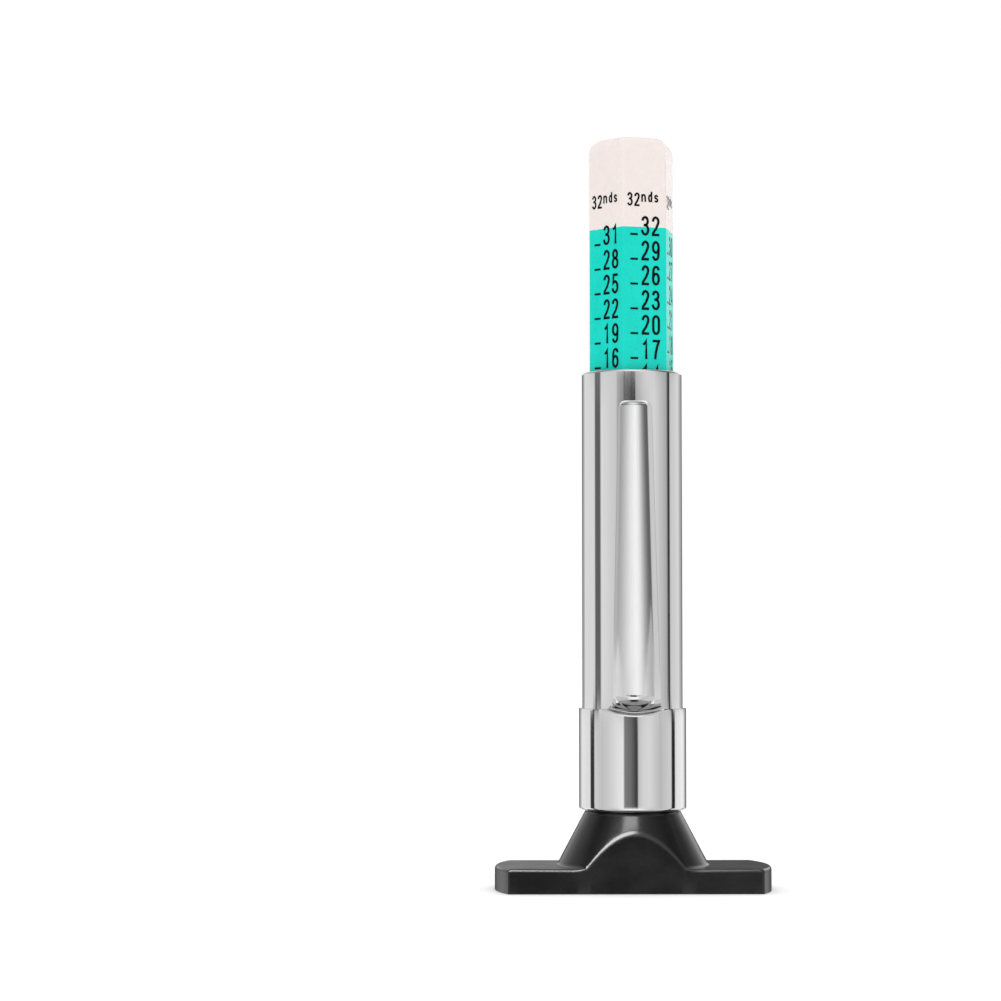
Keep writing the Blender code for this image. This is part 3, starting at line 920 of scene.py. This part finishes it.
inked = add_node(tree, "GeometryNodeSetMaterial", settings)
tree.links.new(inked.outputs[0], result.inputs["Geometry"])
print(f"marks tree has {len(tree.nodes)} nodes")

# %% Print the marks
def printed_marks(name, values):
    """A plain mesh of marks from the tree, riding on the bar."""
    holder = new_object(name + "_holder", bpy.data.meshes.new(name))
    modifier = holder.modifiers.new("marks", "NODES")
    modifier.node_group = marks_tree
    for socket, value in values.items():
        modifier[sockets[socket]] = value
    marks = baked(holder, name)
    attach(marks, "bar")
    return marks


shared = {
    "Turn to next": -math.pi / 3,
    "Face distance": APOTHEM,
    "Mark start": -1.47 * MM,
    "Mark length": 0.77 * MM,
    "Mark thickness": 0.2 * MM,
    "Film": FILM,
}
INCH_TOP = ZERO_MARK + 32 * INCH_MARK
MILLIMETRE_TOP = ZERO_MARK + 25 * MM
inch = {"Marks": 33, "Pitch": INCH_MARK, "Top height": INCH_TOP, "Middle face": BAR_TURN}
metric = {"Marks": 26, "Pitch": MM, "Top height": MILLIMETRE_TOP, "Middle face": BAR_TURN + math.pi}
inch_marks = printed_marks("inch_marks", {**inch, **shared, "Ink": black_ink})
metric_marks = printed_marks("metric_marks", {**metric, **shared, "Ink": red_ink})
print(f"marks: {len(inch_marks.data.polygons) // 6} inch, {len(metric_marks.data.polygons) // 6} metric")

# %% [markdown]
# ## The numbers
# Numbers on such a bar are narrow, plain and all of one line thickness, as an engraver's pantograph draws
# them. A text object with Blender's own font could be squeezed, but that thins its upright strokes. So each
# figure is written as a few pen strokes, lines and arcs in a box one unit high, and a pen of constant width
# follows them. The strokes become a thin film on the face, closed all round like the marks.

# %% Write the figures as pen strokes
def bow(x, y, across, tall, start, end, steps=14):
    """Points on an arc round (x, y), from one angle to another in degrees."""
    points = []
    for i in range(steps + 1):
        angle = math.radians(start + (end - start) * i / steps)
        points.append((x + across * math.cos(angle), y + tall * math.sin(angle)))
    return points


def half_turned(strokes, width):
    """The same strokes turned upside down."""
    return [[(width - x, 1 - y) for x, y in stroke] for stroke in strokes]


WIDE = 0.36
figures = {
    "0": [
        bow(0.18, 0.76, 0.17, 0.24, 0, 180, 16) + bow(0.18, 0.24, 0.17, 0.24, 180, 360, 16) + [(0.35, 0.76)]
    ],
    "1": [[(0.06, 0.80), (0.14, 0.86), (0.21, 1.0), (0.21, 0.0)]],
    "2": [bow(0.175, 0.77, 0.165, 0.23, 172, -28) + [(0.2, 0.36), (0.03, 0.12), (0.01, 0.0), (0.35, 0.0)]],
    "3": [
        bow(0.165, 0.77, 0.155, 0.23, 165, -90) + [(0.12, 0.54)],
        [(0.12, 0.54)] + bow(0.165, 0.27, 0.18, 0.27, 90, -168),
    ],
    "4": [[(0.38, 0.25), (0.0, 0.25), (0.27, 1.0), (0.27, 0.0)]],
    "5": [[(0.33, 1.0), (0.06, 1.0), (0.03, 0.52)] + bow(0.165, 0.31, 0.185, 0.31, 135, -160)],
    "6": [
        bow(0.19, 0.77, 0.16, 0.23, 20, 180)
        + bow(0.18, 0.29, 0.17, 0.29, 180, 360)
        + bow(0.18, 0.33, 0.17, 0.27, 0, 175)
    ],
    "7": [[(0.01, 1.0), (0.35, 1.0), (0.24, 0.66), (0.16, 0.33), (0.13, 0.0)]],
    "8": [
        bow(0.18, 0.77, 0.145, 0.23, 270, -90, 22),
        bow(0.18, 0.27, 0.175, 0.27, 90, 450, 22),
    ],
    "n": [[(0.0, 0.0), (0.0, 0.68)], bow(0.18, 0.46, 0.18, 0.22, 180, 0) + [(0.36, 0.0)]],
    "d": [bow(0.16, 0.34, 0.15, 0.34, 50, 310, 18), [(0.31, 0.0), (0.31, 1.0)]],
    "s": [bow(0.15, 0.5, 0.145, 0.17, 20, 270) + bow(0.15, 0.165, 0.155, 0.165, 90, -160)],
    "M": [[(0.0, 0.0), (0.0, 1.0), (0.22, 0.2), (0.44, 1.0), (0.44, 0.0)]],
}
figures["9"] = half_turned(figures["6"], WIDE)
print(f"{len(figures)} figures drawn")

# %% Helpers that print on a face
def pen_line(points, pen):
    """Left and right edges of a pen stroke along points, with mitred corners."""
    left, right = [], []
    count = len(points)
    for i, point in enumerate(points):
        here = Vector(point)
        before = (here - Vector(points[i - 1])).normalized() if i > 0 else None
        after = (Vector(points[i + 1]) - here).normalized() if i < count - 1 else None
        before = before if before is not None and before.length > 0 else after
        after = after if after is not None and after.length > 0 else before
        middle = (before + after).normalized() if (before + after).length > 1e-6 else before
        side = Vector((-middle.y, middle.x))
        reach = pen / 2 / max(0.45, abs(middle.dot(before)))
        if i == 0:
            here = here - after * pen * 0.3
        if i == count - 1:
            here = here + before * pen * 0.3
        left.append(here + side * reach)
        right.append(here - side * reach)
    return left, right


def on_face(face_turn, across, z, out):
    """A place on one of the bar's faces: across it to the right, at a height, and out from its surface."""
    normal = Vector((math.sin(face_turn), -math.cos(face_turn)))
    rightwards = Vector((math.cos(face_turn), math.sin(face_turn)))
    flat = normal * (APOTHEM + out) + rightwards * across
    return (flat.x, flat.y, z)


def without_repeats(points):
    """The same points without any that repeats the one before it."""
    kept = [points[0]]
    for point in points[1:]:
        if (Vector(point) - Vector(kept[-1])).length > 1e-4:
            kept.append(point)
    return kept


def print_figure(mesh_data, figure, face_turn, across, base, tall, pen):
    """Adds one figure's strokes to the film. across and base place the left end of its pen line's box."""
    unit = tall - pen

    def film_edge(side, out):
        places = [on_face(face_turn, across + p.x, base + pen / 2 + p.y, out) for p in side]
        return [mesh_data.verts.new(place) for place in places]

    for stroke in figures[figure]:
        points = without_repeats([(x * unit, y * unit) for x, y in stroke])
        left, right = pen_line(points, pen)
        back_left, back_right = film_edge(left, -FILM / 2), film_edge(right, -FILM / 2)
        front_left, front_right = film_edge(left, FILM / 2), film_edge(right, FILM / 2)
        for i in range(len(left) - 1):
            k = i + 1
            mesh_data.faces.new((front_left[i], front_right[i], front_right[k], front_left[k]))
            mesh_data.faces.new((back_left[i], back_left[k], back_right[k], back_right[i]))
            mesh_data.faces.new((back_left[i], front_left[i], front_left[k], back_left[k]))
            mesh_data.faces.new((back_right[i], back_right[k], front_right[k], front_right[i]))
        for i in (0, -1):
            mesh_data.faces.new((back_left[i], back_right[i], front_right[i], front_left[i]))


print("ready to print")

# %% Print the numbers and the units
FIGURE_TALL = 1.93 * MM
FIGURE_PEN = 0.25 * MM
FIGURE_STEP = 1.06 * MM
FIGURE_LEFT = -0.23 * MM


def print_scale(name, top_number, pitch, middle_face, finish):
    """All the numbers of one scale, from its top number down to zero, every third on the same face."""
    mesh_data = bmesh.new()
    for k in range(top_number + 1):
        value = top_number - k
        face_turn = middle_face - math.pi / 3 * ((k + 1) % 3 - 1)
        base = ZERO_MARK + value * pitch - 0.12 * MM
        for place, figure in enumerate(str(value).rjust(2)):
            if figure != " ":
                left = FIGURE_LEFT + place * FIGURE_STEP
                print_figure(mesh_data, figure, face_turn, left, base, FIGURE_TALL, FIGURE_PEN)
    bmesh.ops.recalc_face_normals(mesh_data, faces=mesh_data.faces)
    numbers = make_piece(name, mesh_data, finish)
    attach(numbers, "bar")
    return numbers


inch_numbers = print_scale("inch_numbers", 32, INCH_MARK, BAR_TURN, black_ink)
metric_numbers = print_scale("metric_numbers", 25, MM, BAR_TURN + math.pi, red_ink)

UNIT_BASE = ZERO_MARK + 28.1 * MM
# Each figure of a unit: what it is, its left end, its height, its pen and how far it is raised.
THIRTY_SECONDS = [("3", -1.69, 1.33, 0.19, 0.0), ("2", -0.97, 1.33, 0.19, 0.0)]
THIRTY_SECONDS += [("n", -0.26, 1.08, 0.17, 0.42), ("d", 0.42, 1.08, 0.17, 0.42), ("s", 1.05, 1.08, 0.17, 0.42)]
MILLIMETRES = [("M", left, 1.31, 0.15, 0.0) for left in (-1.25, -0.1)]


def print_unit(name, unit, middle_face, finish):
    """The unit's name at the top of three neighbouring faces."""
    mesh_data = bmesh.new()
    for k in (-1, 0, 1):
        face_turn = middle_face + k * math.pi / 3
        for figure, left, tall, pen, raised in unit:
            base = UNIT_BASE + raised * MM
            print_figure(mesh_data, figure, face_turn, left * MM, base, tall * MM, pen * MM)
    bmesh.ops.recalc_face_normals(mesh_data, faces=mesh_data.faces)
    printed_unit = make_piece(name, mesh_data, finish)
    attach(printed_unit, "bar")
    return printed_unit


print_unit("inch_units", THIRTY_SECONDS, BAR_TURN, black_ink)
print_unit("metric_units", MILLIMETRES, BAR_TURN + math.pi, red_ink)
print(f"numbers: {triangles(inch_numbers)} and {triangles(metric_numbers)} triangles")

# %% [markdown]
# ## The probe pin
# A steel pin is pressed into the bar and slides in the foot's bore. Its tip is blunt, so that it doesn't dig
# into the rubber. It was ground to size between wheels, which leaves fine rings round it, so the noise of the
# steel is stretched round the pin and pressed together along it.

# %% Grind the probe pin
ground_steel, tree, shader = new_finish("ground_steel", (0.62, 0.62, 0.63), 0.25, 1.0)
scratches = grain(tree, (0.4, 0.4, 24.0), 2.0)
tint = between(tree, scratches, 0.3, 0.7)
colour = mixed_colour(tree, tint, (0.56, 0.56, 0.57, 1), (0.68, 0.68, 0.69, 1))
satin = between(tree, scratches, 0.3, 0.7, 0.2, 0.34)
wire(tree, shader, Base_Color=colour, Roughness=satin, Normal=bump(tree, scratches, 0.15, 0.01 * MM))

pin_low, pin_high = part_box("probe_pin")
PIN = pin_high.x
pin_outline = softened(
    [
        (0.0, pin_low.z, 0.0),
        (0.75 * PIN, pin_low.z, 0.1 * MM),
        (PIN, pin_low.z + 0.4 * MM, 0.15 * MM),
        (PIN, pin_high.z - 0.3 * MM, 0.1 * MM),
        (PIN - 0.3 * MM, pin_high.z, 0.1 * MM),
        (0.0, pin_high.z, 0.0),
    ]
)
PIN_SIDES = 64
pin_data = bmesh.new()
angles = [2 * math.pi * i / PIN_SIDES for i in range(PIN_SIDES)]
sections = [section_at(pin_data, pin_outline, angle) for angle in angles]
ring_wall(pin_data, sections, closed_section=False)
settle(pin_data)
pin = even_light(make_piece("ground_pin", pin_data, ground_steel))
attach(pin, "bar")
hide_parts("probe_pin")
print(f"pin {2 * PIN / MM:.1f} mm thick, {triangles(pin)} triangles")

# %% [markdown]
# ## The two rings on the bar
# Both sit in the spool's grooves, out of sight in the barrel. The split brass ring meets the rolled mouth
# and stops the bar from coming out. The rubber ring rubs on the wall and holds the bar where it was pushed.
# They are turned from small closed outlines like everything else.

# %% Turn the rings
ring_brass, tree, shader = new_finish("ring_brass", (0.72, 0.5, 0.18), 0.3, 1.0)
wear = grain(tree, (0.8, 0.8, 6.0), 3.0)
colour = mixed_colour(tree, wear, (0.6, 0.4, 0.13, 1), (0.8, 0.6, 0.26, 1))
wire(tree, shader, Base_Color=colour, Roughness=between(tree, wear, 0.3, 0.7, 0.22, 0.4))
inner = GROOVE + GAP
outer = stop_high.x
RING_EDGE = 0.08 * MM
around = ((inner, stop_low.z), (outer, stop_low.z), (outer, stop_high.z), (inner, stop_high.z))
stop_corners = [(r, z, RING_EDGE) for r, z in around]
stop_ring = turned("split_ring", stop_corners, ring_brass, 96, 12.0)
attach(stop_ring, "rings")
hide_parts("stop_ring")

ring_rubber, tree, shader = new_finish("ring_rubber", (0.022, 0.022, 0.022), 0.7)
bloom = grain(tree, (3.0, 3.0, 3.0), 4.0)
colour = mixed_colour(tree, bloom, (0.016, 0.016, 0.016, 1), (0.034, 0.034, 0.033, 1))
wire(tree, shader, Base_Color=colour, Normal=bump(tree, bloom, 0.3, 0.03 * MM))
middle = (rubber_low.z + rubber_high.z) / 2
half_tall = (rubber_high.z - rubber_low.z) / 2
half_wide = (outer - inner) / 2
rubber_corners = [
    (inner + half_wide * (1 + math.cos(a)), middle + half_tall * math.sin(a), 0.0)
    for a in (2 * math.pi * i / 20 for i in range(20))
]
rubber_ring = turned("rubber_ring", rubber_corners, ring_rubber, 96, steps=2)
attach(rubber_ring, "rings")
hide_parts("friction_ring")
print(f"rings: {triangles(stop_ring)} and {triangles(rubber_ring)} triangles")
